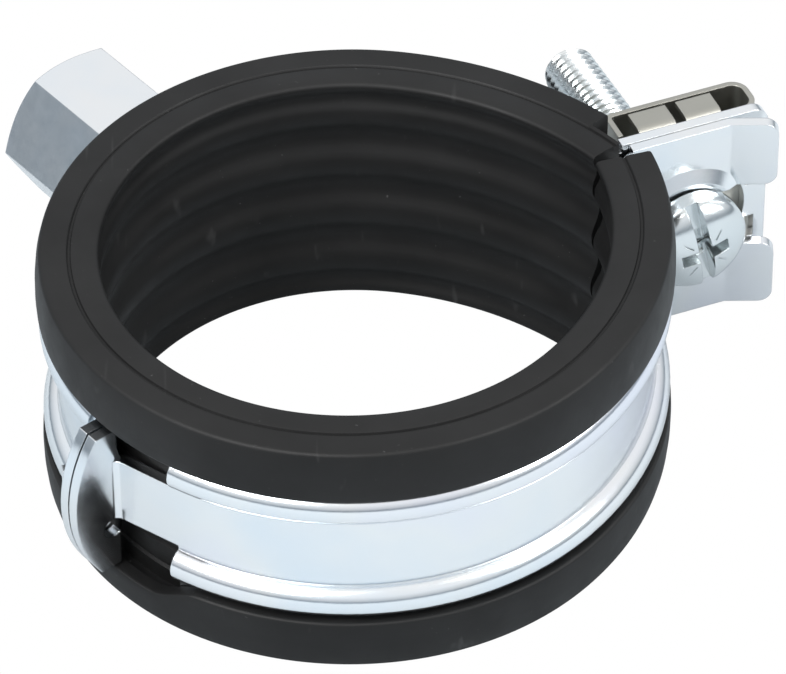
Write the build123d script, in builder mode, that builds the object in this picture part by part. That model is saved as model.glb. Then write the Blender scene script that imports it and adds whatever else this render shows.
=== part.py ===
"""Rubber lined pipe clamp: two hinged steel half bands in an EPDM liner.

Frame: bore axis on +Z, origin at the centre of the bore.  The hinge stands at
the front left, the closing screw at the right and the connection nut points
away to the back left.  All sizes are in millimetres, angles in degrees.
"""
import os
from math import asin, cos, degrees, radians, sin, sqrt, tan

from build123d import *

# ------------------------------------------------------------- driving sizes
# liner
bore_radius = 21.7          # crests of the inner ribs, closed clamp
liner_height = 24.6         # full height of the rubber
liner_base = 3.1            # rubber between the ribs' crests and the band
flange_cover = 1.1          # end faces' outer edge beyond the band
lip_cover = 1.45            # fullest part of the lips beyond the band
lip_edge_z = 7.05           # edge of each lip beside the bead
groove_depth = 0.85         # scallops between the inner ribs
rib_land = 0.8              # flat crest of each rib
end_land = 0.45             # flat beside each end face
rib_pitch = 5.8             # spacing of the inner ribs
rib_count = 4
mould_line_inset = 2.6      # fine groove round each end face, from the bore
mould_line_width = 0.35
mould_line_depth = 0.25
base_groove_width = 0.7     # grooves in the channel under the band
base_groove_depth = 0.35
base_groove_pitch = 2.6
base_groove_count = 7
lip_round = 0.5             # rounding of the liner's outer edges

# band
sheet = 1.0                 # steel sheet
band_half_width = 9.6       # edges under the lips
bead_inner_z = 3.7          # foot of a bead beside the flat middle
bead_outer_z = 7.0          # foot of a bead beside the lip
bead_height = 1.3
bead_round = 0.8            # rounding of the beads' cut ends

# closure
ear_angle = 22.0            # direction in which the ears point
ear_offset = 4.0            # front face of the near ear from the bore axis
ear_gap = 0.10              # between the two ears
ear_half_height = 10.4
near_wide_run = 0.8         # the ears reach full height this far past their roots
far_wide_run = 1.1
near_bulge = (320.0, 4.5)   # the hinged half opens to a larger arc from here
far_bulge = (80.0, 8.5)     # and the fixed half from here, to its own
near_root_run = 2.05        # straight lead from each arc into its ear's bend
far_root_run = 1.9
root_bend = 1.6             # middle radius of the bends at the ears' roots
tab_bend_run = 10.4         # bend line of the near ear's tabs, from its root
tab_length = 4.4
tab_angle = 22.0
tab_bend = 1.2
tab_corner = 1.3
slot_half_width = 3.5       # open slot for the screw's shank
far_ear_run = 14.5          # end of the far ear, from the near ear's root
far_ear_corner = 1.6
far_hole_run = 6.4
far_hole_radius = 6.0       # wide clearance round the shank
hook_slot_width = 0.9       # small slots near the far ear's end
hook_slot_height = 2.5
hook_slot_run = 12.95
hook_slot_z = 3.1
seat_rim_radius = 6.4       # raised seat of the screw head
seat_radius = 5.2
seat_height = 0.7

# closing screw, M5 pan head
screw_run = 6.15            # middle of the screw's seat from the near ear's root
screw_lean = 2.0            # its axis leans this much from the ears' normal
shank_radius = 2.5
shank_length = 26.0
tip_chamfer = 0.7
head_radius = 4.75
head_height = 3.5
head_wall = 1.5             # straight side under the dome
slot_width = 1.25
slot_depth = 2.0
cross_width = 1.35
cross_reach = 2.4
cross_depth = 2.5
cross_turn = 10.0
seat_clearance = 0.22       # head to seat, more than the lean takes up

# spring clip
clip_sheet = 0.5
clip_clearance = 0.05       # clip to the far ear
clip_depth = 4.15           # front face to rear face
clip_start_run = 0.9        # both ends from the near ear's root
clip_end_run = 13.9
clip_half_height = 9.8
clip_window_radius = 4.2
tongue_clearance = 0.15     # tongues to the shank
tongue_slit = 0.5
tongue_reach = 5.2
tongue_width = 4.4
clip_lugs = ((2.5, 6.1), (7.1, 10.5))
clip_cut_top = 7.9          # the clip's front edge is cut down to here
lug_top = 10.2
lug_reach = 2.7
lug_radius = 0.8
clip_notch_run = 12.0       # the front edge is whole again from here

# hinge
hinge_angle = 219.0
hinge_reach = 5.15          # outer edge of the flanges beyond the band, where they roll
flange_gap = 0.10           # each flange from the parting plane
flange_arc = 13.6           # radius of the flanges' outer edge
flange_arc_z = -1.0         # height of that arc's centre
flange_start = 0.6          # their inner edge beyond the band
flange_top = 6.7
flange_bottom = 8.7         # below the middle
root_half_height = 6.3
neck_half_height = 3.3
neck_start_angle = 235.2    # beads of the hinged half end here
fixed_bead_end = 214.5      # beads of the fixed half end here
root_fold = 0.7             # middle radius of the fixed flange's bend
neck_fold = 1.15            # middle radius of the hinged flange's bend
relief_depth = 0.4          # cut-back of the hinged flange above the neck
relief_top = 6.0
relief_hole_radius = 1.0    # round relief under the neck
relief_hole_in = 0.7         # its middle from the flange's inner edge
relief_hole_z = 4.25        # below the middle
lip_notch_low = 8.9         # the lower lips are notched round the flanges
lip_notch_half = 1.6
hook_inner_radius = 1.75
hook_sheet = 0.9
hook_half_width = 2.2
hook_angle = 64.0
hook_clearance = 0.3

# liner ends
liner_gap = 0.15            # each liner half from the parting plane
near_end_back = 0.75        # near liner's end short of the band's straight lead
far_lip_back = 1.2          # the far liner's lips stop short of the ear's root
far_wall_run = 0.5          # its end walls run on beside the root
far_base_run = 4.0          # its base runs on under the ears
liner_clearance = 0.10      # band to liner, on faces
channel_clearance = 0.15    # band edge to channel wall

# connection nut
nut_angle = 128.8
nut_flats = 13.0
nut_height = 15.8           # from the band's outer face
nut_chamfer = 0.9
nut_seat_clearance = 0.02
nut_core_radius = 3.4       # M8 thread core
nut_mouth = 0.8

# ---------------------------------------------------------- derived values
band_radius = bore_radius + liner_base + liner_clearance
band_middle = band_radius + sheet / 2
band_outer = band_radius + sheet
bead_radius = band_outer + bead_height
bead_middle_z = (bead_inner_z + bead_outer_z) / 2
channel_radius = band_radius - liner_clearance
lip_inner_radius = band_outer + liner_clearance
channel_half = band_half_width + channel_clearance
half_height = liner_height / 2
flange_radius = band_outer + flange_cover
lip_radius = band_outer + lip_cover
mould_line_radius = bore_radius + mould_line_inset
hinge_radius = band_outer + hinge_reach
flange_inner = band_outer + flange_start
relief_hole_at = flange_inner + relief_hole_in
window_inner = hinge_radius - hook_inner_radius - hook_sheet - hook_clearance
window_outer = hinge_radius - sqrt((hook_inner_radius - hook_clearance) ** 2
                                   - (flange_gap + sheet) ** 2)


def spoke(angle, radius=1.0, z=0.0):
    """Point at a radius and an angle round the bore."""
    return (radius * cos(radians(angle)), radius * sin(radians(angle)), z)


def radial_plane(angle, shift=0.0):
    """Plane through the bore axis: x outward, y up, normal against the turn."""
    plane = Plane(origin=(0, 0, 0), x_dir=spoke(angle), z_dir=spoke(angle - 90))
    return plane.offset(shift)


def closure_plane(bulge, angle):
    """Section plane on a closure arc; bulge is its start and added radius."""
    start, more = bulge
    there, here = spoke(angle, more), spoke(start, more)
    return Plane(origin=(there[0] - here[0], there[1] - here[1], 0), x_dir=spoke(angle),
                 z_dir=spoke(angle - 90))


def closure_axis(bulge):
    """Axis of a closure arc."""
    return Axis(spoke(bulge[0], -bulge[1]), (0, 0, 1))


def ear_crossing(bulge, plane_out):
    """Angle on a closure arc where the band's middle crosses an ear's middle."""
    centre = radians(bulge[0] - ear_angle)
    rise = plane_out - bulge[1] * sin(centre)
    return ear_angle - degrees(asin(rise / (band_middle + bulge[1])))


ear_plane = radial_plane(ear_angle)          # x along the ears, normal to front
hinge_plane = radial_plane(hinge_angle)      # normal towards the fixed half
near_front = -ear_offset
far_front = near_front - sheet - ear_gap
clip_front = far_front - sheet - clip_clearance
near_arc = band_middle + near_bulge[1]
far_arc = band_middle + far_bulge[1]
near_corner = ear_crossing(near_bulge, near_front - sheet / 2)
far_corner = ear_crossing(far_bulge, far_front - sheet / 2)
near_root_angle = near_corner - degrees(near_root_run / near_arc)
far_root_angle = far_corner + degrees(far_root_run / far_arc)
near_liner_end = near_root_angle - degrees(near_end_back / near_arc)
far_lip_end = far_root_angle + degrees(far_lip_back / far_arc)
far_wall_end = far_root_angle - degrees(far_wall_run / far_arc)
far_base_end = far_root_angle - degrees(far_base_run / far_arc)


def ear_point(along, out):
    """Point in plan: along the ears' direction and out on their normal."""
    a, n = radians(ear_angle), radians(ear_angle - 90)
    return (along * cos(a) + out * cos(n), along * sin(a) + out * sin(n))


def hinge_point(along, turn):
    """Point in plan: along the hinge's spoke and across it with the turn."""
    a, n = radians(hinge_angle), radians(hinge_angle + 90)
    return (along * cos(a) + turn * cos(n), along * sin(a) + turn * sin(n))


def root_on(bulge, angle):
    """Point in plan on the middle of the band's sheet, on a closure arc."""
    point = closure_plane(bulge, angle).from_local_coords((band_middle, 0, 0))
    return (point.X, point.Y)


def corner_on(bulge, angle, sign, plane_out):
    """Where the tangent at a root meets the middle of an ear."""
    px, py = root_on(bulge, angle)
    tx, ty, _ = spoke(angle + 90 * sign)
    nx, ny, _ = spoke(ear_angle - 90)
    run = (plane_out - px * nx - py * ny) / (tx * nx + ty * ny)
    return (px + run * tx, py + run * ty)


def along_ear(point):
    """How far a point in plan lies along the ears."""
    return point[0] * cos(radians(ear_angle)) + point[1] * sin(radians(ear_angle))


near_bend = corner_on(near_bulge, near_root_angle, 1, near_front - sheet / 2)
far_bend = corner_on(far_bulge, far_root_angle, -1, far_front - sheet / 2)
ear_foot = along_ear(near_bend)
near_wide_from = ear_foot + near_wide_run
far_wide_from = along_ear(far_bend) + far_wide_run
screw_at = ear_foot + screw_run
seat_out = near_front + seat_height + seat_clearance
screw_plane = Plane(origin=ear_point(screw_at, seat_out) + (0,), x_dir=spoke(ear_angle + screw_lean),
                    z_dir=spoke(ear_angle + screw_lean - 90))
screw_axis = Axis(screw_plane.origin, screw_plane.z_dir)


def screw_point(across, out):
    """Point in plan in the screw's own frame, from the seat."""
    point = screw_plane.from_local_coords((across, 0, out))
    return (point.X, point.Y)


def band_section(plane):
    """Section of the band: flat middle, two beads, two flat edges."""
    rows = []
    for side in (-1, 1):
        rows.append([(bead_inner_z * side), (bead_middle_z * side), (bead_outer_z * side)])
    low, high = rows[0][::-1], rows[1]
    inset = sheet * 0.62
    with BuildSketch(plane, mode=Mode.PRIVATE) as section:
        with BuildLine():
            Line((band_radius, -band_half_width), (band_outer, -band_half_width))
            Line((band_outer, -band_half_width), (band_outer, low[0]))
            ThreePointArc((band_outer, low[0]), (bead_radius, low[1]), (band_outer, low[2]))
            Line((band_outer, low[2]), (band_outer, high[0]))
            ThreePointArc((band_outer, high[0]), (bead_radius, high[1]), (band_outer, high[2]))
            Line((band_outer, high[2]), (band_outer, band_half_width))
            Line((band_outer, band_half_width), (band_radius, band_half_width))
            Line((band_radius, band_half_width), (band_radius, high[2] - inset))
            ThreePointArc((band_radius, high[2] - inset), (bead_radius - sheet, high[1]),
                          (band_radius, high[0] + inset))
            Line((band_radius, high[0] + inset), (band_radius, low[2] - inset))
            ThreePointArc((band_radius, low[2] - inset), (bead_radius - sheet, low[1]),
                          (band_radius, low[0] + inset))
            Line((band_radius, low[0] + inset), (band_radius, -band_half_width))
        make_face()
    return section.sketch


def liner_section(plane, walls=True, lips=True):
    """Section of the rubber; base and walls alone run under the ears' roots."""
    outer = flange_radius if walls else channel_radius
    full = lip_radius
    with BuildSketch(plane, mode=Mode.PRIVATE) as section:
        with BuildLine():
            Line((bore_radius, -half_height), (outer, -half_height))
            if not walls:
                Line((outer, -half_height), (outer, half_height))
            elif not lips:
                Polyline((outer, -half_height), (outer, -channel_half), (channel_radius, -channel_half),
                         (channel_radius, channel_half), (outer, channel_half), (outer, half_height))
            else:
                Spline((outer, -half_height), (full, -(half_height + lip_edge_z) / 2),
                       (full - 0.05, -lip_edge_z))
                Polyline((full - 0.05, -lip_edge_z), (lip_inner_radius, -lip_edge_z),
                         (lip_inner_radius, -channel_half), (channel_radius, -channel_half),
                         (channel_radius, channel_half), (lip_inner_radius, channel_half),
                         (lip_inner_radius, lip_edge_z), (full - 0.05, lip_edge_z))
                Spline((full - 0.05, lip_edge_z), (full, (half_height + lip_edge_z) / 2),
                       (outer, half_height))
            Line((outer, half_height), (bore_radius, half_height))
            crests = [rib_pitch * (i - (rib_count - 1) / 2) for i in range(rib_count)][::-1]
            ends = half_height - end_land
            tops = [ends] + [crest - rib_land / 2 for crest in crests]
            lows = [crest + rib_land / 2 for crest in crests] + [-ends]
            Line((bore_radius, half_height), (bore_radius, ends))
            for top, low in zip(tops, lows):
                depth = groove_depth * min(1, (top - low) / (rib_pitch - rib_land))
                ThreePointArc((bore_radius, top), (bore_radius + depth, (top + low) / 2), (bore_radius, low))
            for low, top in zip(lows, tops[1:]):
                Line((bore_radius, low), (bore_radius, top))
            Line((bore_radius, -ends), (bore_radius, -half_height))
        make_face()
        for z in (-half_height, half_height):
            with Locations((mould_line_radius, z)):
                Rectangle(mould_line_width, 2 * mould_line_depth, mode=Mode.SUBTRACT)
        if lips:
            for i in range(base_groove_count):
                groove_z = base_groove_pitch * (i - (base_groove_count - 1) / 2)
                with Locations((channel_radius, groove_z)):
                    Rectangle(2 * base_groove_depth, base_groove_width, mode=Mode.SUBTRACT)
    return section.sketch


def hook_section():
    """Quarter ring in plan, from inside the hinged flange round the hinge axis."""
    centre = hinge_point(hinge_radius, 0)
    middle = hook_inner_radius + hook_sheet / 2
    lead = degrees(asin((flange_gap + sheet / 2) / middle))
    first = hinge_angle + 180 - lead
    outer, inner = hook_inner_radius + hook_sheet, hook_inner_radius
    with BuildSketch(Plane.XY, mode=Mode.PRIVATE) as section:
        with BuildLine():
            arcs = [CenterArc(centre, r, first, lead + hook_angle) for r in (outer, inner)]
            for end in (0, 1):
                Line(arcs[0] @ end, arcs[1] @ end)
        make_face()
    return section.sketch


def flange_outline(plane, neck=False):
    """Hinge flange in its own plane: straight inside, an arc on the outside."""
    width, height = flange_arc, flange_top + flange_bottom
    with BuildSketch(plane, mode=Mode.PRIVATE) as section:
        with Locations((hinge_radius - flange_arc, flange_arc_z)):
            Circle(flange_arc)
        with Locations((flange_inner + width / 2, (flange_top - flange_bottom) / 2)):
            Rectangle(width, height, mode=Mode.INTERSECT)
        if neck:
            back = flange_inner - relief_depth
            with BuildLine():
                ThreePointArc((flange_inner, relief_top),
                              (flange_inner - 0.25 * relief_depth, (relief_top + neck_half_height) / 2 - 0.3),
                              (back, neck_half_height))
                Polyline((back, neck_half_height), (back, -neck_half_height),
                         (flange_inner + 0.1, -neck_half_height), (flange_inner + 0.1, relief_top),
                         (flange_inner, relief_top))
            make_face()
            with Locations((relief_hole_at, -relief_hole_z)):
                Circle(relief_hole_radius, mode=Mode.SUBTRACT)
    return section.sketch


def lip_notch():
    """Outline in plan of the lower lip's notch for the hinge flanges."""
    near, far = lip_inner_radius - 0.15, lip_radius + 1
    with BuildSketch(Plane.XY.offset(-lip_notch_low), mode=Mode.PRIVATE) as section:
        with BuildLine():
            Polyline(*[hinge_point(along, side * lip_notch_half)
                       for along, side in ((near, -1), (far, -1), (far, 1), (near, 1))], close=True)
        make_face()
    return section.sketch


def seat_section():
    """Half section of the raised seat, in plan, beside its middle."""
    top = near_front + seat_height
    with BuildSketch(Plane.XY, mode=Mode.PRIVATE) as section:
        with BuildLine():
            Polyline(ear_point(screw_at, top), ear_point(screw_at + seat_radius, top),
                     ear_point(screw_at + seat_rim_radius, near_front),
                     ear_point(screw_at + seat_rim_radius, near_front - sheet),
                     ear_point(screw_at + seat_radius, top - sheet),
                     ear_point(screw_at, top - sheet), close=True)
        make_face()
    return section.sketch


# --------------------------------------------------------- fixed half: liner
with BuildPart() as fixed_liner:
    liner_trim = degrees(asin(liner_gap / bore_radius))
    revolve(liner_section(radial_plane(far_bulge[0])), axis=Axis.Z,
            revolution_arc=hinge_angle - liner_trim - far_bulge[0])
    stops = (far_base_end, far_wall_end, far_lip_end, far_bulge[0])
    for begin, end, walls, lips in zip(stops, stops[1:], (False, True, True), (False, False, True)):
        revolve(liner_section(closure_plane(far_bulge, begin), walls=walls, lips=lips),
                axis=closure_axis(far_bulge), revolution_arc=end - begin)
    extrude(lip_notch(), amount=lip_notch_low - lip_edge_z + 0.5, mode=Mode.SUBTRACT)
fixed_liner.part.label = "fixed_half_liner"

# -------------------------------------------------------- hinged half: liner
with BuildPart() as hinged_liner:
    start = hinge_angle + liner_trim
    revolve(liner_section(radial_plane(start)), axis=Axis.Z, revolution_arc=near_bulge[0] - start)
    revolve(liner_section(closure_plane(near_bulge, near_bulge[0])), axis=closure_axis(near_bulge),
            revolution_arc=360 + near_liner_end - near_bulge[0])
    extrude(lip_notch(), amount=lip_notch_low - lip_edge_z + 0.5, mode=Mode.SUBTRACT)
hinged_liner.part.label = "hinged_half_liner"

# ---------------------------------------------------------- fixed half: band
with BuildPart() as fixed_band:
    revolve(band_section(radial_plane(far_bulge[0])), axis=Axis.Z,
            revolution_arc=fixed_bead_end - far_bulge[0])
    revolve(band_section(closure_plane(far_bulge, far_root_angle)), axis=closure_axis(far_bulge),
            revolution_arc=far_bulge[0] - far_root_angle)
    # far ear, bent out of the arc
    with BuildSketch():
        with BuildLine():
            FilletPolyline(root_on(far_bulge, far_root_angle),
                           far_bend,
                           ear_point(far_wide_from + sheet, far_front - sheet / 2),
                           radius=root_bend)
        trace(line_width=sheet)
    extrude(amount=band_half_width, both=True)
    far_ear_end = ear_foot + far_ear_run
    with BuildSketch(ear_plane.offset(far_front)):
        with Locations(((far_wide_from + far_ear_end) / 2, 0)):
            Rectangle(far_ear_end - far_wide_from, 2 * ear_half_height)
    extrude(amount=-sheet)
    outer_edges = (fixed_band.edges().filter_by(Axis((0, 0, 0), ear_plane.z_dir))
                   .sort_by(Axis((0, 0, 0), ear_plane.x_dir))[-2:])
    fillet(outer_edges, far_ear_corner)
    with BuildSketch(ear_plane.offset(far_front)):
        with Locations((ear_foot + far_hole_run, 0)):
            Circle(far_hole_radius)
        with Locations((ear_foot + hook_slot_run, hook_slot_z), (ear_foot + hook_slot_run, -hook_slot_z)):
            Rectangle(hook_slot_width, hook_slot_height)
    extrude(amount=-sheet, mode=Mode.SUBTRACT)
    # hinge flange: narrow root inside the lips, wide round-edged plate outside
    with BuildSketch():
        with BuildLine():
            CenterArc((0, 0), band_middle, fixed_bead_end - 0.5, hinge_angle - fixed_bead_end - 3.5)
            a = hinge_angle - 4.0
            FilletPolyline(spoke(a, band_middle)[:2],
                           hinge_point(band_middle + 0.03, -flange_gap - sheet / 2),
                           hinge_point(flange_inner + 1, -flange_gap - sheet / 2), radius=root_fold)
        trace(line_width=sheet)
    extrude(amount=root_half_height, both=True)
    extrude(flange_outline(hinge_plane.offset(flange_gap)), amount=sheet)
    with BuildSketch(hinge_plane.offset(flange_gap)):
        with Locations(((window_inner + window_outer) / 2, 0)):
            Rectangle(window_outer - window_inner, 2 * (hook_half_width + hook_clearance))
    extrude(amount=sheet, mode=Mode.SUBTRACT)
fixed_band.part.label = "fixed_half_band"

# --------------------------------------------------------- hinged half: band
with BuildPart() as hinged_band:
    revolve(band_section(radial_plane(neck_start_angle)), axis=Axis.Z,
            revolution_arc=near_bulge[0] - neck_start_angle)
    revolve(band_section(closure_plane(near_bulge, near_bulge[0])), axis=closure_axis(near_bulge),
            revolution_arc=360 + near_root_angle - near_bulge[0])
    # near ear with its two bent tabs
    near_middle = near_front - sheet / 2
    tab_bend_at = ear_foot + tab_bend_run
    bend = ear_point(tab_bend_at, near_middle)
    tab_way = spoke(ear_angle - tab_angle, tab_length)
    with BuildSketch():
        with BuildLine():
            FilletPolyline(root_on(near_bulge, near_root_angle),
                           near_bend,
                           ear_point(near_wide_from + sheet, near_middle), radius=root_bend)
        trace(line_width=sheet)
    extrude(amount=band_half_width, both=True)
    with BuildSketch():
        with BuildLine():
            FilletPolyline(ear_point(near_wide_from, near_middle), bend,
                           (bend[0] + tab_way[0], bend[1] + tab_way[1]), radius=tab_bend)
        trace(line_width=sheet)
    extrude(amount=ear_half_height, both=True)
    # raised seat, then the slot that opens outward between the tabs
    with BuildSketch(ear_plane.offset(near_front)):
        with Locations((screw_at, 0)):
            Circle(seat_rim_radius)
    extrude(amount=-sheet, mode=Mode.SUBTRACT)
    revolve(seat_section(), axis=Axis(ear_point(screw_at, 0) + (0,), ear_plane.z_dir))
    with BuildSketch(ear_plane.offset(near_front + 3)):
        with Locations((screw_at, 0)):
            Circle(slot_half_width)
        slot_run = tab_bend_at + tab_length + sheet - screw_at
        with Locations((screw_at + slot_run / 2, 0)):
            Rectangle(slot_run, 2 * slot_half_width)
    extrude(amount=-3 - 2 * sheet, mode=Mode.SUBTRACT)
    tab_plane = Plane(origin=bend + (0,), x_dir=tab_way, z_dir=spoke(ear_angle - tab_angle - 90))
    tab_corners = (hinged_band.edges().filter_by(Axis((0, 0, 0), tab_plane.z_dir))
                   .sort_by(Axis((0, 0, 0), tab_plane.x_dir))[-4:])
    fillet(tab_corners, tab_corner)
    # narrow neck, straight from the last of the round to the hinge, and its flange
    turn_out = neck_start_angle - hinge_angle
    run = (band_middle * sin(radians(turn_out)) - flange_gap - sheet / 2) / cos(radians(turn_out))
    corner = band_middle * cos(radians(turn_out)) + run * sin(radians(turn_out))
    with BuildSketch():
        with BuildLine():
            CenterArc((0, 0), band_middle, neck_start_angle + 0.5, -0.5)
            FilletPolyline(spoke(neck_start_angle, band_middle)[:2],
                           hinge_point(corner, flange_gap + sheet / 2),
                           hinge_point(corner + neck_fold + 0.3, flange_gap + sheet / 2), radius=neck_fold)
        trace(line_width=sheet)
    extrude(amount=neck_half_height, both=True)
    extrude(flange_outline(hinge_plane.offset(-flange_gap), neck=True), amount=-sheet)
    # hook that passes through the fixed flange, rolled round the hinge axis
    extrude(hook_section(), amount=hook_half_width, both=True)
hinged_band.part.label = "hinged_half_band"

# -------------------------------------------------------------- closing screw
with BuildPart() as closing_screw:
    with BuildSketch():
        with BuildLine():
            Polyline(screw_point(0, head_height), screw_point(0, -shank_length),
                     screw_point(shank_radius - tip_chamfer, -shank_length),
                     screw_point(shank_radius, -shank_length + tip_chamfer),
                     screw_point(shank_radius, 0), screw_point(head_radius, 0),
                     screw_point(head_radius, head_wall))
            ThreePointArc(screw_point(head_radius, head_wall),
                          screw_point(0.66 * head_radius, head_wall + 0.76 * (head_height - head_wall)),
                          screw_point(0, head_height))
        make_face()
    revolve(axis=screw_axis)
    with BuildSketch(screw_plane.offset(head_height)):
        Rectangle(2 * head_radius + 1, slot_width, rotation=cross_turn + 90)
    extrude(amount=-slot_depth, mode=Mode.SUBTRACT)
    for depth, share in ((-0.01, 1.0), (cross_depth, 0.55)):
        with BuildSketch(screw_plane.offset(head_height - depth)):
            for quarter in range(2):
                Rectangle(2 * cross_reach * share, cross_width * share,
                          rotation=cross_turn + 90 * quarter)
    loft(ruled=True, mode=Mode.SUBTRACT)
closing_screw.part.label = "closing_screw"

# ---------------------------------------------------------------- spring clip
with BuildPart() as spring_clip:
    clip_start, clip_end = ear_foot + clip_start_run, ear_foot + clip_end_run
    clip_notch_end = ear_foot + clip_notch_run
    front = clip_front - clip_sheet / 2
    rear = clip_front - clip_depth + clip_sheet / 2
    tongue_at = screw_at - (seat_out - rear) * tan(radians(screw_lean))
    with BuildSketch():
        with BuildLine():
            FilletPolyline(ear_point(clip_start + 1.0, front), ear_point(clip_end, front),
                           ear_point(clip_end, rear), ear_point(clip_start, rear),
                           ear_point(clip_start, front - 0.6), radius=(1.3, 1.3, 0.6))
        trace(line_width=clip_sheet)
    extrude(amount=clip_half_height, both=True)
    with BuildSketch(ear_plane.offset(clip_front + 0.1)):
        with Locations((screw_at, 0)):
            Circle(clip_window_radius)
        for side in (-1, 1):
            low, high = clip_cut_top, clip_half_height + 1
            with Locations(((clip_start + clip_notch_end) / 2, side * (low + high) / 2)):
                Rectangle(clip_notch_end - clip_start, high - low)
    extrude(amount=-clip_sheet - 0.3, mode=Mode.SUBTRACT)
    with BuildSketch(ear_plane.offset(rear + clip_sheet)):
        with Locations((tongue_at, 0)):
            Circle(shank_radius + tongue_clearance)
        for side in (-1, 1):
            with Locations((tongue_at + side * tongue_width / 2, 0)):
                Rectangle(tongue_slit, 2 * tongue_reach)
    extrude(amount=-2 * clip_sheet, mode=Mode.SUBTRACT)
    for lug_from, lug_to in clip_lugs:
        for side in (-1, 1):
            lug_plane = Plane(origin=ear_point(ear_foot + lug_from, 0) + (0,), x_dir=ear_plane.z_dir,
                              z_dir=ear_plane.x_dir)
            up = -side                      # local y of this plane points down
            with BuildSketch(lug_plane):
                with BuildLine():
                    crown = up * (lug_top - clip_sheet / 2)
                    FilletPolyline((front, up * (clip_cut_top - 0.3)), (front, crown),
                                   (front - lug_reach, crown), radius=lug_radius)
                trace(line_width=clip_sheet)
            extrude(amount=lug_to - lug_from)
spring_clip.part.label = "spring_clip"

# ------------------------------------------------------------- connection nut
nut_plane = Plane(origin=spoke(nut_angle, band_outer), x_dir=spoke(nut_angle + 90),
                  z_dir=spoke(nut_angle))
with BuildPart() as connection_nut:
    with BuildSketch(nut_plane):
        RegularPolygon(nut_flats / 2, 6, major_radius=False)
    extrude(amount=nut_height)
    with BuildSketch(Plane(origin=nut_plane.origin, x_dir=spoke(nut_angle + 90), z_dir=(0, 0, 1))):
        with BuildLine():
            reach = nut_flats * 0.62
            edge = nut_flats / 2 - 0.2
            Polyline((0, 0), (reach, 0), (reach, -nut_height + (reach - edge) * 0.58),
                     (edge, -nut_height), (0, -nut_height), close=True)
        make_face()
    revolve(axis=Axis(nut_plane.origin, nut_plane.z_dir), mode=Mode.INTERSECT)
    with BuildSketch(nut_plane):
        Circle(nut_core_radius)
    extrude(amount=nut_height, mode=Mode.SUBTRACT)
    bore_edges = [edge for edge in connection_nut.edges().filter_by(GeomType.CIRCLE)
                  if abs(edge.radius - nut_core_radius) < 0.01]
    chamfer(ShapeList(bore_edges).sort_by(Axis(nut_plane.origin, nut_plane.z_dir))[-1], nut_mouth)
    with BuildSketch():
        Circle(bead_radius + nut_seat_clearance)
    extrude(amount=nut_flats, both=True, mode=Mode.SUBTRACT)
connection_nut.part.label = "connection_nut"

# --------------------------------------------------------------------- export
os.makedirs("parts", exist_ok=True)
for piece in (fixed_band, hinged_band, fixed_liner, hinged_liner, connection_nut,
              closing_screw, spring_clip):
    export_step(piece.part, f"parts/{piece.part.label}.step")
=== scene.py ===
"""Looks of the rubber lined pipe clamp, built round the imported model."""

import math

import bmesh
import bpy
from mathutils import Matrix, Vector


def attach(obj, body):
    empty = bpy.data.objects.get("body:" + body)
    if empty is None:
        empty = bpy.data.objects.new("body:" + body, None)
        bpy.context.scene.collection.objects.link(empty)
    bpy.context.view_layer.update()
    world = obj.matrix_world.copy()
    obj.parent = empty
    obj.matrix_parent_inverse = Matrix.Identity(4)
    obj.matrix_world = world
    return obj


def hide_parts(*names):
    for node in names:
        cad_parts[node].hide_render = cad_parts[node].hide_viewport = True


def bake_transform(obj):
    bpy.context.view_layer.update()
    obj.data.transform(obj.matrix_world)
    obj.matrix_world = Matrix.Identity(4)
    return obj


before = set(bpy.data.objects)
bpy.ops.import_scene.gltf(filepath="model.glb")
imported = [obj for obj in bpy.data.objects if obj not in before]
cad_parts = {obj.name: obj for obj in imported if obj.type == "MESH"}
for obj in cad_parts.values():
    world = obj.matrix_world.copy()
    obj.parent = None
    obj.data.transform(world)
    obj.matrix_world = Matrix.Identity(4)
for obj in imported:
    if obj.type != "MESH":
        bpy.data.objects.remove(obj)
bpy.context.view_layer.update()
scene = bpy.context.scene
MM = 0.001

# ---------------------------------------------------------------- dimensions
BORE, FLANGE, LIP, LIP_Z = 21.7, 27.0, 27.35, 7.05
CHANNEL, LIP_INNER, CHANNEL_Z, HALF = 24.8, 26.0, 9.75, 12.3
RIB_PITCH, RIB_LAND, END_LAND, GROOVE = 5.8, 0.8, 0.45, 0.85
NEAR_BULGE, FAR_BULGE = (320.0, 4.5), (80.0, 8.5)   # closure arcs: start, added radius

# Azimuths of the liner's runs, in degrees: base only, then walls, then the full section.
BASE_END, WALLS_END, FULL_START = 40.8, 46.7, 49.5
BEND_START, BEND_END, HINGED_END = 192, 246, 377.5

# Lower lip at the hinge: edge height, where it starts, rises and meets the bead.
NOTCH_Z, NOTCH_START, NOTCH_RISE, NOTCH_END = 8.9, 215.6, 230, 241

# Camera: its place, what it looks at (mm), roll (degrees), lens and sensor (mm).
CAMERA, TARGET = (3.690, -395.94, 354.2), (3.690, 0, 1.490)
CAMERA_ROLL, LENS, SENSOR = -0.371, 277.2, 36.0
TABLE_Z, TABLE_HALF = -0.0125, 0.6                  # metres


def polar(azimuth, radius, z=0.0):
    """Point round the bore axis, in metres."""
    a = math.radians(azimuth)
    return Vector((radius * math.cos(a), radius * math.sin(a), z)) * MM


def round_point(azimuth, radius, z=0.0):
    """Point on the ring, which opens out to larger arcs beside the closure."""
    bulge = FAR_BULGE if azimuth < FAR_BULGE[0] else NEAR_BULGE if azimuth > NEAR_BULGE[0] else None
    point = polar(azimuth, radius, z)
    if bulge:
        point += polar(azimuth, bulge[1]) - polar(bulge[0], bulge[1])
    return point


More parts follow.
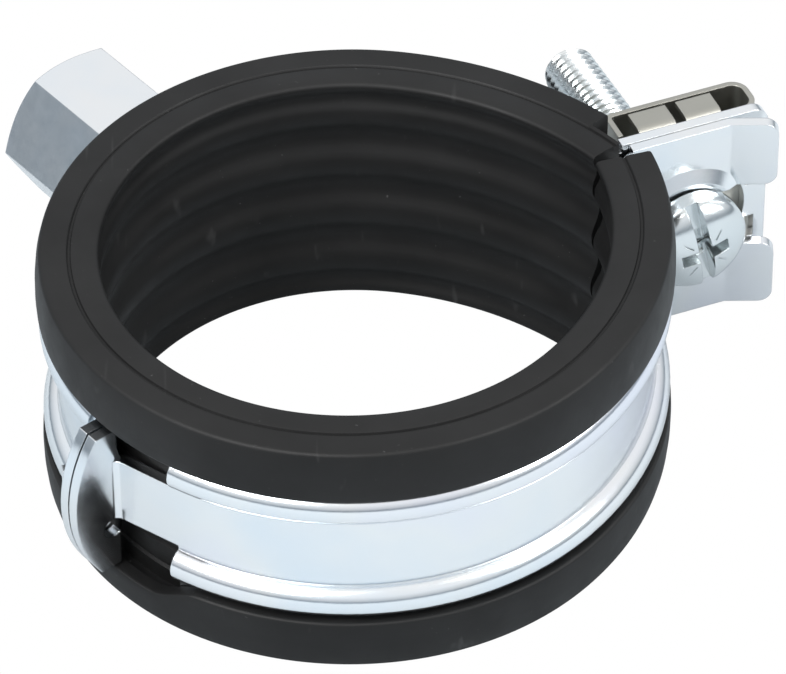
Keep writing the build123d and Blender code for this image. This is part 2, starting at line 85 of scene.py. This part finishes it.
def new_object(name, bm, material, smooth=True):
    """Object from a bmesh, at the origin."""
    bmesh.ops.recalc_face_normals(bm, faces=bm.faces[:])
    mesh = bpy.data.meshes.new(name)
    bm.to_mesh(mesh)
    bm.free()
    for poly in mesh.polygons:
        poly.use_smooth = smooth
    mesh.materials.append(material)
    obj = bpy.data.objects.new(name, mesh)
    scene.collection.objects.link(obj)
    return obj


# ----------------------------------------------------------------- materials
class Nodes:
    """Small helper to build a node tree line by line."""

    def __init__(self, tree):
        self.tree = tree

    def add(self, kind, **values):
        node = self.tree.nodes.new(kind)
        for key, value in values.items():
            if hasattr(node, key) and not key[0].isupper():
                setattr(node, key, value)
            else:
                node.inputs[key.replace("_", " ")].default_value = value
        return node

    def link(self, a, b):
        self.tree.links.new(a, b)
        return self

    def math(self, operation, a, b=None):
        node = self.tree.nodes.new("ShaderNodeMath")
        node.operation = operation
        for i, value in enumerate((a, b)):
            if value is None:
                continue
            if isinstance(value, (int, float)):
                node.inputs[i].default_value = value
            else:
                self.tree.links.new(value, node.inputs[i])
        return node.outputs[0]

    def ramp(self, source, *stops):
        node = self.tree.nodes.new("ShaderNodeValToRGB")
        while len(node.color_ramp.elements) < len(stops):
            node.color_ramp.elements.new(0.5)
        for element, (position, value) in zip(node.color_ramp.elements, stops):
            element.position = position
            element.color = (*value, 1) if isinstance(value, tuple) else (value, value, value, 1)
        self.tree.links.new(source, node.inputs[0])
        return node.outputs[0]


def material(name):
    """New node material: (material, nodes helper, principled shader, object coordinates)."""
    mat = bpy.data.materials.new(name)
    mat.use_nodes = True
    nodes = Nodes(mat.node_tree)
    shader = mat.node_tree.nodes["Principled BSDF"]
    place = mat.node_tree.nodes.new("ShaderNodeTexCoord").outputs["Object"]
    return mat, nodes, shader, place


def noise(nodes, place, scale, detail=4.0, rough=0.55, stretch=None):
    """Noise at a scale in object space; stretch squeezes one or more axes."""
    if stretch:
        mapping = nodes.add("ShaderNodeMapping")
        mapping.inputs["Scale"].default_value = stretch
        nodes.link(place, mapping.inputs[0])
        place = mapping.outputs[0]
    node = nodes.add("ShaderNodeTexNoise", Scale=scale, Detail=detail, Roughness=rough)
    nodes.link(place, node.inputs["Vector"])
    return node.outputs["Fac"]


def steel(name, base, tints, roughness, grain=0.25, relief=0.12):
    """Bright plated steel: faint tints, uneven gloss and fine relief."""
    mat, n, shader, place = material(name)
    shader.inputs["Metallic"].default_value = 1.0
    cloud = noise(n, place, 55, 3)
    colour = n.ramp(cloud, *[(0.3 + 0.4 * i / (len(tints) - 1), tint) for i, tint in enumerate(tints)])
    mix = n.add("ShaderNodeMix", data_type="RGBA")
    mix.inputs["Factor"].default_value = 0.6
    mix.inputs["A"].default_value = (*base, 1)
    n.link(colour, mix.inputs["B"])
    n.link(mix.outputs["Result"], shader.inputs["Base Color"])
    fine = noise(n, place, 900, 6, 0.7)
    spread = n.math("MULTIPLY_ADD", fine, grain)
    spread.node.inputs[2].default_value = roughness - grain / 2
    n.link(spread, shader.inputs["Roughness"])
    broad = noise(n, place, 160, 2)
    bump1 = n.add("ShaderNodeBump", Strength=relief, Distance=0.0002)
    n.link(broad, bump1.inputs["Height"])
    bump2 = n.add("ShaderNodeBump", Strength=relief, Distance=0.00004)
    n.link(fine, bump2.inputs["Height"])
    n.link(bump1.outputs[0], bump2.inputs["Normal"])
    rim = n.add("ShaderNodeBevel", samples=4, Radius=0.00014)
    n.link(rim.outputs[0], bump1.inputs["Normal"])
    n.link(bump2.outputs[0], shader.inputs["Normal"])
    return mat


def rubber(name):
    """Matte extruded rubber with dust, faint scratches and a soft grain."""
    mat, n, shader, place = material(name)
    base = n.ramp(noise(n, place, 70, 4), (0.3, 0.005), (0.7, 0.010))
    specks = n.ramp(noise(n, place, 2600, 2, 0.5), (0.72, 0.0), (0.78, 1.0))
    patches = n.ramp(noise(n, place, 120, 3), (0.45, 0.0), (0.65, 1.0))
    scratches = n.ramp(noise(n, place, 700, 2, 0.5, (1.0, 0.06, 0.3)), (0.68, 0.0), (0.76, 1.0))
    dust = n.math("MULTIPLY", specks, patches)
    dust = n.math("MAXIMUM", dust, n.math("MULTIPLY", scratches, 0.25))
    mix = n.add("ShaderNodeMix", data_type="RGBA")
    n.link(n.math("MULTIPLY", dust, 0.35), mix.inputs["Factor"])
    n.link(base, mix.inputs["A"])
    mix.inputs["B"].default_value = (0.2, 0.2, 0.2, 1)
    n.link(mix.outputs["Result"], shader.inputs["Base Color"])
    gloss = n.ramp(noise(n, place, 200, 4), (0.3, 0.46), (0.7, 0.60))
    n.link(gloss, shader.inputs["Roughness"])
    shader.inputs["Specular IOR Level"].default_value = 0.24
    bump1 = n.add("ShaderNodeBump", Strength=0.25, Distance=0.00005)
    n.link(noise(n, place, 1500, 4, 0.6), bump1.inputs["Height"])
    bump2 = n.add("ShaderNodeBump", Strength=0.3, Distance=0.0002)
    n.link(noise(n, place, 90, 3), bump2.inputs["Height"])
    n.link(bump1.outputs[0], bump2.inputs["Normal"])
    n.link(bump2.outputs[0], shader.inputs["Normal"])
    return mat


zinc = steel("bright_zinc", (0.80, 0.83, 0.87),
             ((0.72, 0.80, 0.86), (0.86, 0.86, 0.84), (0.80, 0.80, 0.88)), 0.17, 0.14)
screw_zinc = steel("screw_zinc", (0.74, 0.77, 0.78), ((0.66, 0.72, 0.74), (0.82, 0.82, 0.80)), 0.19, 0.14)
clip_steel = steel("clip_steel", (0.42, 0.41, 0.37), ((0.34, 0.34, 0.30), (0.50, 0.49, 0.45)), 0.38)
black = rubber("liner_rubber")

for node, mat in (("fixed_half_band", zinc), ("hinged_half_band", zinc), ("connection_nut", zinc),
                  ("closing_screw", screw_zinc), ("spring_clip", clip_steel),
                  ("fixed_half_liner", black), ("hinged_half_liner", black)):
    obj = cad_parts[node]
    obj.data.materials.clear()
    obj.data.materials.append(mat)


# -------------------------------------------------------------- rubber liner
def arc(cx, cy, radius, first, last, steps=5):
    """Points on an arc in (radius, z)."""
    out = []
    for i in range(steps + 1):
        a = math.radians(first + (last - first) * i / steps)
        out.append((cx + radius * math.cos(a), cy + radius * math.sin(a)))
    return out


def bore_profile():
    """The bore's ribs from the upper end face down, in (radius, z)."""
    crests = [RIB_PITCH * k for k in (1.5, 0.5, -0.5, -1.5)]
    tops = [HALF - END_LAND] + [c - RIB_LAND / 2 for c in crests]
    lows = [c + RIB_LAND / 2 for c in crests] + [END_LAND - HALF]
    out = []
    for top, low in zip(tops, lows):
        depth = GROOVE * min(1.0, (top - low) / (RIB_PITCH - RIB_LAND))
        for i in range(11):
            t = i / 10
            swell = (0.5 - 0.5 * math.cos(2 * math.pi * t)) ** 0.8
            out.append((BORE + depth * swell, top + (low - top) * t))
    return out


def upper_lip():
    """Channel wall, lip, side and upper end face, from the base outward."""
    out = [(CHANNEL, CHANNEL_Z), (LIP_INNER, CHANNEL_Z), (LIP_INNER, LIP_Z + 0.1)]
    out += arc(LIP - 0.35, LIP_Z + 0.3, 0.3, -90, 0, 4)
    out += [(LIP, 8.3), (LIP - 0.03, 9.8), (LIP - 0.16, 11.1)]
    out += arc(FLANGE - 0.45, HALF - 0.45, 0.45, 10, 90, 5)
    out += [(25.2, HALF), (24.55, HALF)]
    out += [(24.48, HALF - 0.05), (24.4, HALF - 0.22), (24.2, HALF - 0.22), (24.12, HALF - 0.05)]
    out += [(24.0, HALF), (22.6, HALF)]
    out += arc(BORE + 0.45, HALF - 0.45, 0.45, 90, 180, 4)[:-1]
    return out


def base_grooves():
    """Fine grooves in the floor of the channel, from the lower lip up."""
    out = []
    for i in range(-3, 4):
        z = 2.6 * i
        out += [(CHANNEL, z - 0.4), (CHANNEL - 0.3, z - 0.25), (CHANNEL - 0.3, z + 0.25), (CHANNEL, z + 0.4)]
    return out


def liner_profile(kind):
    """Closed section of the rubber: 'full', 'walls' or 'base'."""
    if kind == "full":
        upper = upper_lip()
    elif kind == "walls":
        upper = [p for p in upper_lip() if not (p[1] < HALF - 1.2 and p[0] > LIP_INNER - 0.1)]
        upper.insert(1, (FLANGE, CHANNEL_Z))
    else:
        upper = [(CHANNEL, HALF)] + [p for p in upper_lip() if p[0] < CHANNEL - 0.3 and p[1] > 0]
    lower = [(r, -z) for r, z in reversed(upper)]
    return upper + bore_profile() + lower + base_grooves()


def lip_edge(azimuth):
    """Height of the lower lip's edge: low beside the hinge, then rising to the bead."""
    if azimuth < NOTCH_START or azimuth > NOTCH_END:
        return -LIP_Z
    t = max(0.0, (azimuth - NOTCH_RISE) / (NOTCH_END - NOTCH_RISE))
    return -NOTCH_Z + (NOTCH_Z - LIP_Z) * t * t * (3 - 2 * t)


def lip_notched(azimuth, radius, z):
    """Height of a section's point once the lower lip is cut back beside the hinge."""
    edge = lip_edge(azimuth)
    if radius > LIP_INNER - 0.1 and edge < z < -LIP_Z + 0.1:
        return edge - 0.3 * (-LIP_Z - z)
    return z


def stations(first, last, step=1.0):
    """Azimuths of the rings of a run, with a close pair at the notch's side."""
    count = max(2, round(abs(last - first) / step))
    out = [first + (last - first) * i / count for i in range(count + 1)]
    out += [NOTCH_START + d for d in (-0.12, 0.12) if first < NOTCH_START < last]
    return sorted(out)


def sweep(bm, profile, first, last, caps=(True, True)):
    """Sweeps a closed section round the ring; caps says which ends are closed."""
    rings = []
    for az in stations(first, last):
        rings.append([bm.verts.new(round_point(az, r, lip_notched(az, r, z))) for r, z in profile])
    for a, b in zip(rings, rings[1:]):
        for j in range(len(profile)):
            k = (j + 1) % len(profile)
            bm.faces.new((a[j], a[k], b[k], b[j]))
    if caps[0]:
        bm.faces.new(rings[0])
    if caps[1]:
        bm.faces.new(rings[-1][::-1])


def shade_by_angle(obj, degrees):
    """Sharp edges above an angle, smooth elsewhere."""
    bm = bmesh.new()
    bm.from_mesh(obj.data)
    limit = math.radians(degrees)
    for edge in bm.edges:
        if len(edge.link_faces) == 2:
            edge.smooth = edge.calc_face_angle(0.0) < limit
    bm.to_mesh(obj.data)
    bm.free()


def build_liner():
    """One strip of rubber: a run on each half and the stretch at the hinge between them."""
    full = liner_profile("full")
    bm = bmesh.new()
    sweep(bm, full, FULL_START, BEND_START, caps=(True, False))
    sweep(bm, liner_profile("walls"), WALLS_END, FULL_START)
    sweep(bm, liner_profile("base"), BASE_END, WALLS_END)
    fixed = new_object("liner_fixed_run", bm, black)
    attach(fixed, "fixed_half")
    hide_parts("fixed_half_liner")
    bm = bmesh.new()
    sweep(bm, full, BEND_END, HINGED_END, caps=(False, True))
    hinged = new_object("liner_hinged_run", bm, black)
    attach(hinged, "hinged_half")
    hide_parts("hinged_half_liner")
    bm = bmesh.new()
    sweep(bm, full, BEND_START, BEND_END, caps=(False, False))
    bend = new_object("liner_bend", bm, black)
    for obj in (fixed, hinged, bend):
        shade_by_angle(obj, 35)
    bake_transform(bend)


build_liner()


# --------------------------------------------------------------- closing screw
SEAT, SCREW_AZ = Vector((30.373, 15.594, 0.0)), 24.0
SHANK, CORE, PITCH, SHANK_LENGTH, TIP = 2.5, 2.06, 0.8, 26.0, 0.7
HEAD, WALL, DOME, CROSS_TURN = 4.75, 1.5, 2.0, 10.0


def screw_point(across, up, out):
    """Point in the screw's own frame, from its seat, in metres."""
    a, b = math.radians(SCREW_AZ), math.radians(SCREW_AZ - 90)
    return (SEAT + Vector((across * math.cos(a) + out * math.cos(b),
                           across * math.sin(a) + out * math.sin(b), up))) * MM


def dome(radius):
    """Height of the head over the seat at a radius."""
    return WALL + DOME * math.sqrt(max(0.0, 1 - (radius / HEAD) ** 2))


def ring_skin(bm, rings):
    """Joins rings of vertices and caps both ends."""
    for a, b in zip(rings, rings[1:]):
        for j in range(len(a)):
            k = (j + 1) % len(a)
            bm.faces.new((a[j], a[k], b[k], b[j]))
    bm.faces.new(rings[0])
    bm.faces.new(rings[-1][::-1])


def thread_radius(depth, turn):
    """Radius of the rolled thread at a depth under the head and a share of a turn."""
    phase = (depth / PITCH + turn) % 1.0
    flank = min(1.0, max(0.0, 1.35 * abs(2 * phase - 1) - 0.12))
    radius = SHANK - (SHANK - CORE) * flank
    return min(radius, SHANK - max(0.0, TIP - (SHANK_LENGTH - depth)))


def box_cutter(name, turn, long, wide, low, high, taper=1.0, start=None):
    """Box across the head: turned, tapered downward, or from a start radius out."""
    bm = bmesh.new()
    a = math.radians(turn)
    corners = []
    for out, share in ((low, taper), (high, 1.0)):
        first = start if start is not None else -long * share
        for l, w in ((first, -wide), (long * share, -wide), (long * share, wide), (first, wide)):
            w *= share
            corners.append(bm.verts.new(screw_point(l * math.cos(a) - w * math.sin(a),
                                                    l * math.sin(a) + w * math.cos(a), out)))
    ring_skin(bm, [corners[:4], corners[4:]])
    return new_object(name, bm, screw_zinc)


def applied(obj, others):
    """Cuts the others out of an object and keeps the result."""
    for other in others:
        cut = obj.modifiers.new("cut", "BOOLEAN")
        cut.operation, cut.object, cut.solver = "DIFFERENCE", other, "EXACT"
    graph = bpy.context.evaluated_depsgraph_get()
    graph.update()
    mesh = bpy.data.meshes.new_from_object(obj.evaluated_get(graph))
    obj.modifiers.clear()
    obj.data = mesh
    for other in others:
        bpy.data.objects.remove(other)
    return obj


def build_screw():
    """Pan head with slot and cross over a rolled thread."""
    bm = bmesh.new()
    profile = [(2.0, -0.3), (2.0, 0.0), (HEAD - 0.12, 0.0), (HEAD, 0.12), (HEAD, WALL)]
    profile += [(r, dome(r)) for r in (4.68, 4.5, 4.2, 3.8, 3.3, 2.7, 2.0, 1.3, 0.6)]
    rings = [[bm.verts.new(screw_point(r * math.cos(t), r * math.sin(t), h))
              for t in [2 * math.pi * i / 72 for i in range(72)]] for r, h in profile]
    ring_skin(bm, rings)
    head = new_object("screw_head", bm, screw_zinc)
    cutters = [box_cutter("cut_slot", CROSS_TURN + 90, 6.0, 0.63, WALL, 6.0)]
    for quarter in (0, 90):
        cutters.append(box_cutter("cut_cross", CROSS_TURN + quarter, 2.45, 0.68, 1.0, 3.56, 0.55))
    for k in range(4):
        cutters.append(box_cutter("cut_tick", CROSS_TURN + 45 + 90 * k, 2.9, 0.07, dome(2.2) - 0.14, 4.0,
                                  start=1.5))
    head = applied(head, cutters)
    bm = bmesh.new()
    count = round(SHANK_LENGTH / 0.1)
    rings = []
    for i in range(count + 1):
        depth = SHANK_LENGTH * i / count
        rings.append([])
        for j in range(36):
            radius = thread_radius(depth, j / 36)
            t = 2 * math.pi * j / 36
            rings[-1].append(bm.verts.new(screw_point(radius * math.cos(t), radius * math.sin(t), -depth)))
    ring_skin(bm, rings)
    shank = new_object("screw_thread", bm, screw_zinc)
    for obj in (head, shank):
        shade_by_angle(obj, 32)
        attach(obj, "closing_screw")
    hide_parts("closing_screw")
    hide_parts("closing_screw")


build_screw()


# ------------------------------------------------------- stage and daylight
def place_camera():
    """Camera at the picture's own angle."""
    data = bpy.data.cameras.new("camera")
    data.sensor_width, data.lens = SENSOR, LENS
    cam = bpy.data.objects.new("camera", data)
    scene.collection.objects.link(cam)
    spot, aim = Vector(CAMERA) * MM, Vector(TARGET) * MM
    cam.location = spot
    roll = Matrix.Rotation(math.radians(CAMERA_ROLL), 3, "Z")
    turn = (aim - spot).to_track_quat("-Z", "Y").to_matrix() @ roll
    cam.rotation_euler = turn.to_euler()
    data.clip_start, data.clip_end = 0.01, 10
    scene.camera = cam


def area_light(name, where, aim, size, power):
    """Soft rectangular lamp."""
    data = bpy.data.lights.new(name, "AREA")
    data.shape, data.size, data.size_y = "RECTANGLE", size[0], size[1]
    data.energy = power
    obj = bpy.data.objects.new(name, data)
    scene.collection.objects.link(obj)
    obj.location = Vector(where)
    obj.rotation_euler = (Vector(aim) - Vector(where)).to_track_quat("-Z", "Y").to_euler()


def build_world():
    """White for the camera, a soft studio of light and dark bands for the rest."""
    world = bpy.data.worlds.new("studio")
    world.use_nodes = True
    scene.world = world
    tree = world.node_tree
    n = Nodes(tree)
    back = tree.nodes["Background"]
    out = tree.nodes["World Output"]
    place = n.add("ShaderNodeTexCoord").outputs["Generated"]
    split = n.add("ShaderNodeSeparateXYZ")
    n.link(place, split.inputs[0])
    height = n.math("MULTIPLY_ADD", split.outputs["Z"], 0.5)
    height.node.inputs[2].default_value = 0.5
    light = n.ramp(height, (0.0, (0.80, 0.84, 0.88)), (0.30, (0.70, 0.76, 0.80)), (0.44, (0.16, 0.20, 0.24)),
                   (0.52, (0.20, 0.24, 0.28)), (0.60, (0.62, 0.66, 0.70)), (0.78, (0.95, 0.97, 1.0)),
                   (1.0, (1.0, 1.0, 1.0)))
    n.link(light, back.inputs["Color"])
    back.inputs["Strength"].default_value = 1.0
    white = n.add("ShaderNodeBackground")
    white.inputs["Color"].default_value = (1, 1, 1, 1)
    white.inputs["Strength"].default_value = 1.0
    mix = n.add("ShaderNodeMixShader")
    n.link(n.add("ShaderNodeLightPath").outputs["Is Camera Ray"], mix.inputs["Fac"])
    n.link(back.outputs[0], mix.inputs[1])
    n.link(white.outputs[0], mix.inputs[2])
    n.link(mix.outputs[0], out.inputs["Surface"])


def build_floor():
    """Pale table under the clamp: plain white for the camera, shaded for the rest."""
    bm = bmesh.new()
    bm.faces.new([bm.verts.new((x * TABLE_HALF, y * TABLE_HALF, TABLE_Z))
                  for x, y in ((-1, -1), (1, -1), (1, 1), (-1, 1))])
    mat, n, shader, _ = material("table")
    shader.inputs["Base Color"].default_value = (0.42, 0.455, 0.48, 1)
    shader.inputs["Roughness"].default_value = 0.9
    glow = n.add("ShaderNodeEmission")
    glow.inputs["Strength"].default_value = 1.0
    mix = n.add("ShaderNodeMixShader")
    n.link(n.add("ShaderNodeLightPath").outputs["Is Camera Ray"], mix.inputs["Fac"])
    n.link(shader.outputs[0], mix.inputs[1])
    n.link(glow.outputs[0], mix.inputs[2])
    n.link(mix.outputs[0], mat.node_tree.nodes["Material Output"].inputs["Surface"])
    new_object("table", bm, mat, smooth=False)


place_camera()
build_world()
build_floor()
area_light("key", (-0.25, -0.3, 0.45), (0, 0, 0), (0.35, 0.35), 4.0)
area_light("fill", (0.35, -0.1, 0.3), (0, 0, 0), (0.25, 0.3), 1.5)
scene.view_settings.view_transform = "Standard"
